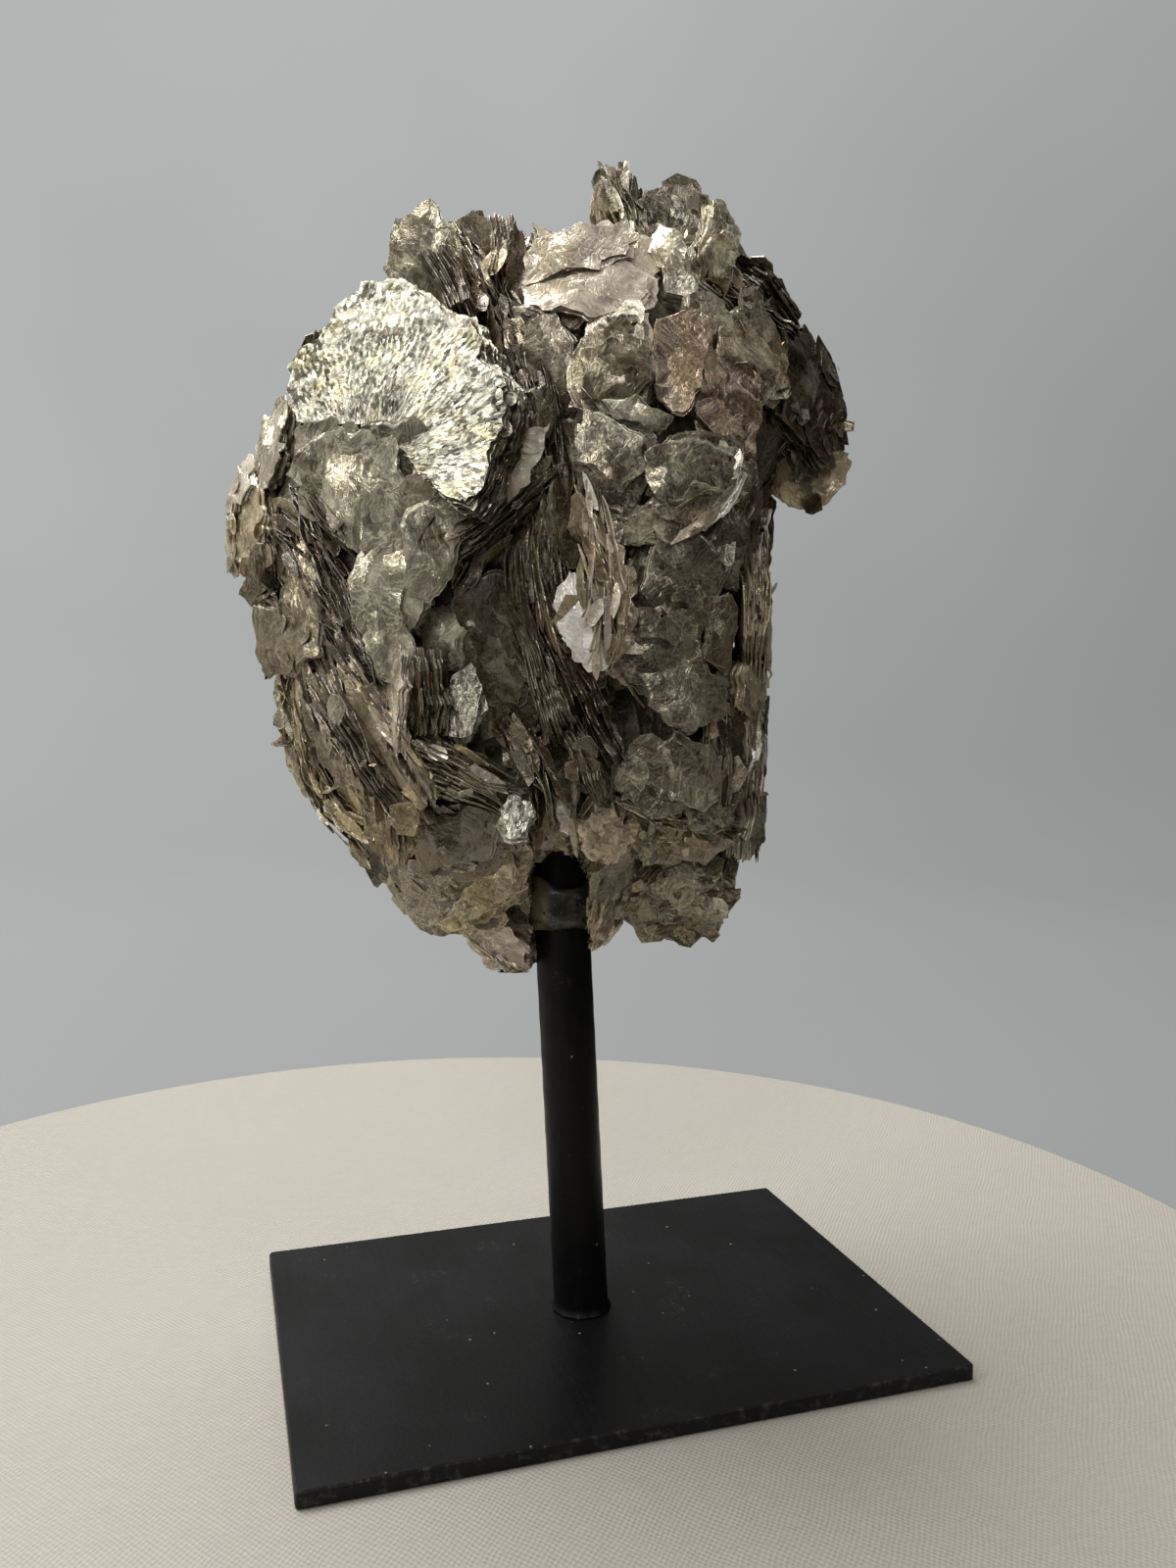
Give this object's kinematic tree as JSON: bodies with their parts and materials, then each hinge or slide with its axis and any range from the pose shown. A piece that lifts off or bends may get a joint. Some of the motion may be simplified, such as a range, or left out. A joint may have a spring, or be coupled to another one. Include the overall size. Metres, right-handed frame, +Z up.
{
  "type": "mica crystal",
  "caption": "Cluster of intergrown mica books held upright on a leaning black post, glued in and fixed to a flat rectangular base plate.",
  "frame": {"origin": "centre of the base plate's underside", "axes": "+Z up, X along the base plate's long side, Y along its short side, -Y towards the specimen's front"},
  "size_m": [0.1191, 0.0852, 0.2081],
  "materials": {
    "mica": "pearly broken sheets, silver, olive, pink, cream and brown",
    "glue": "cloudy hardened glue with bubbles",
    "post_paint": "satin black paint",
    "plate_paint": "satin black paint, chipped at one corner"
  },
  "bodies": {
    "root": {"mica_crystal": "mica", "glue": "glue", "post": "post_paint", "base_plate": "plate_paint"}
  },
  "joints": []
}
